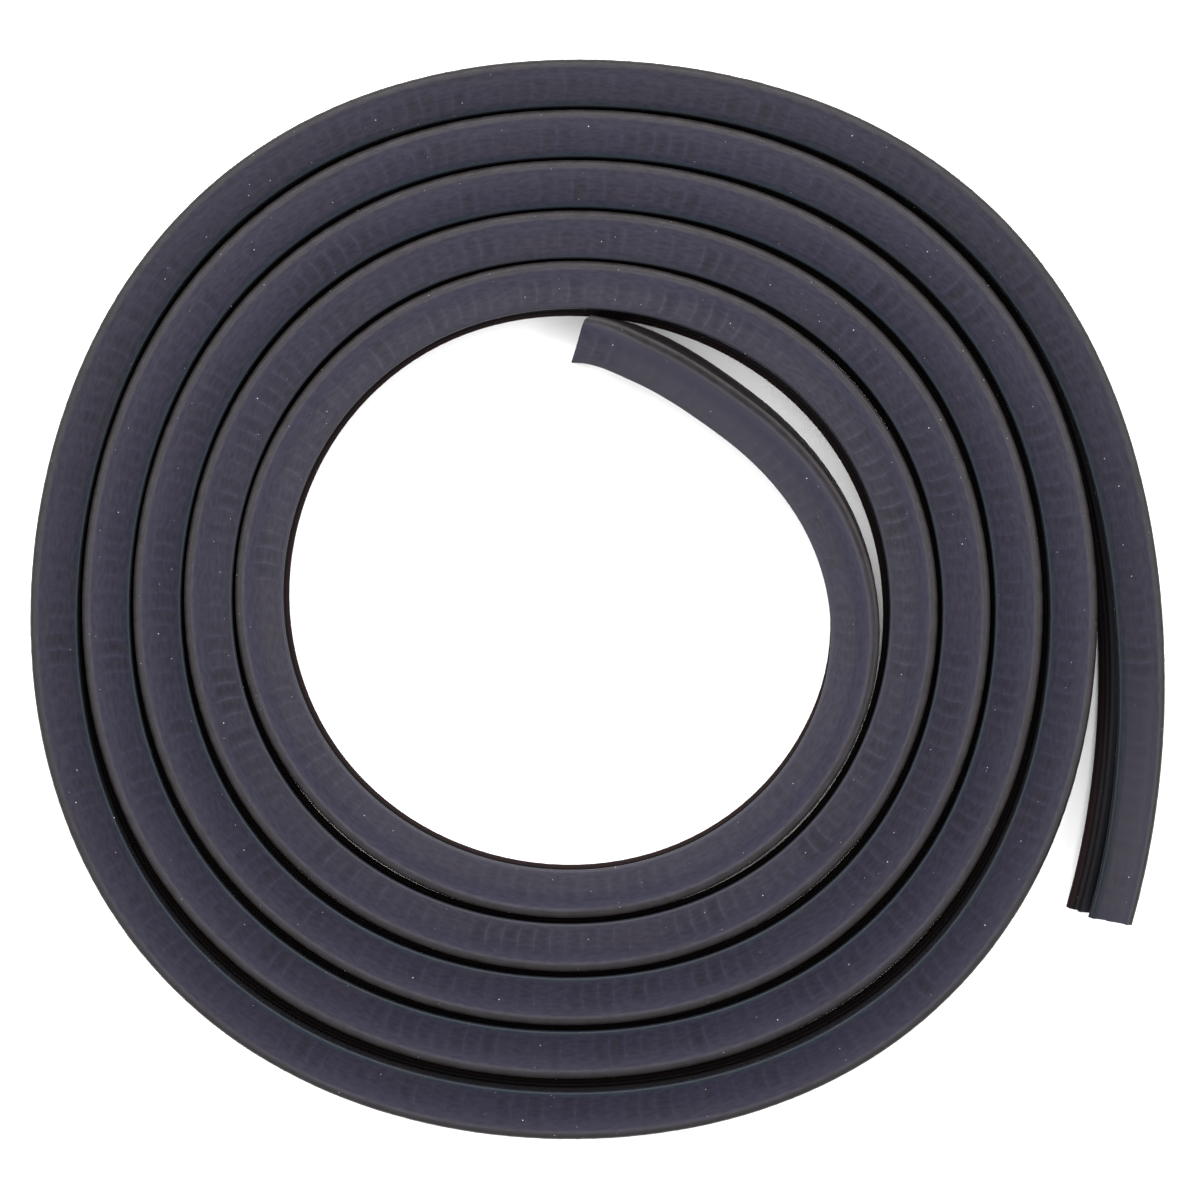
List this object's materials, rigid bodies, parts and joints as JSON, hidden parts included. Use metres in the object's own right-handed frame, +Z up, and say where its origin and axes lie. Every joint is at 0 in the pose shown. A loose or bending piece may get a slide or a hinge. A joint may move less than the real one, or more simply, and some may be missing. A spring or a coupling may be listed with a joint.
{
  "type": "coil of truck door weatherstrip",
  "caption": "Flat single-layer coil of black rubber U-section door edge seal with gripping fins in its mouth and two free ends.",
  "frame": {"origin": "on the floor, below the middle of the coil's overall box", "axes": "+Z up, square to the flat coil; +Y towards the inner free end's tip, +X towards the side where the outer free end leaves"},
  "size_m": [0.374, 0.356, 0.0174],
  "materials": {
    "rubber": "satin black moulded rubber with faint cross ribs"
  },
  "bodies": {
    "root": {"weatherstrip": "rubber"}
  },
  "joints": []
}
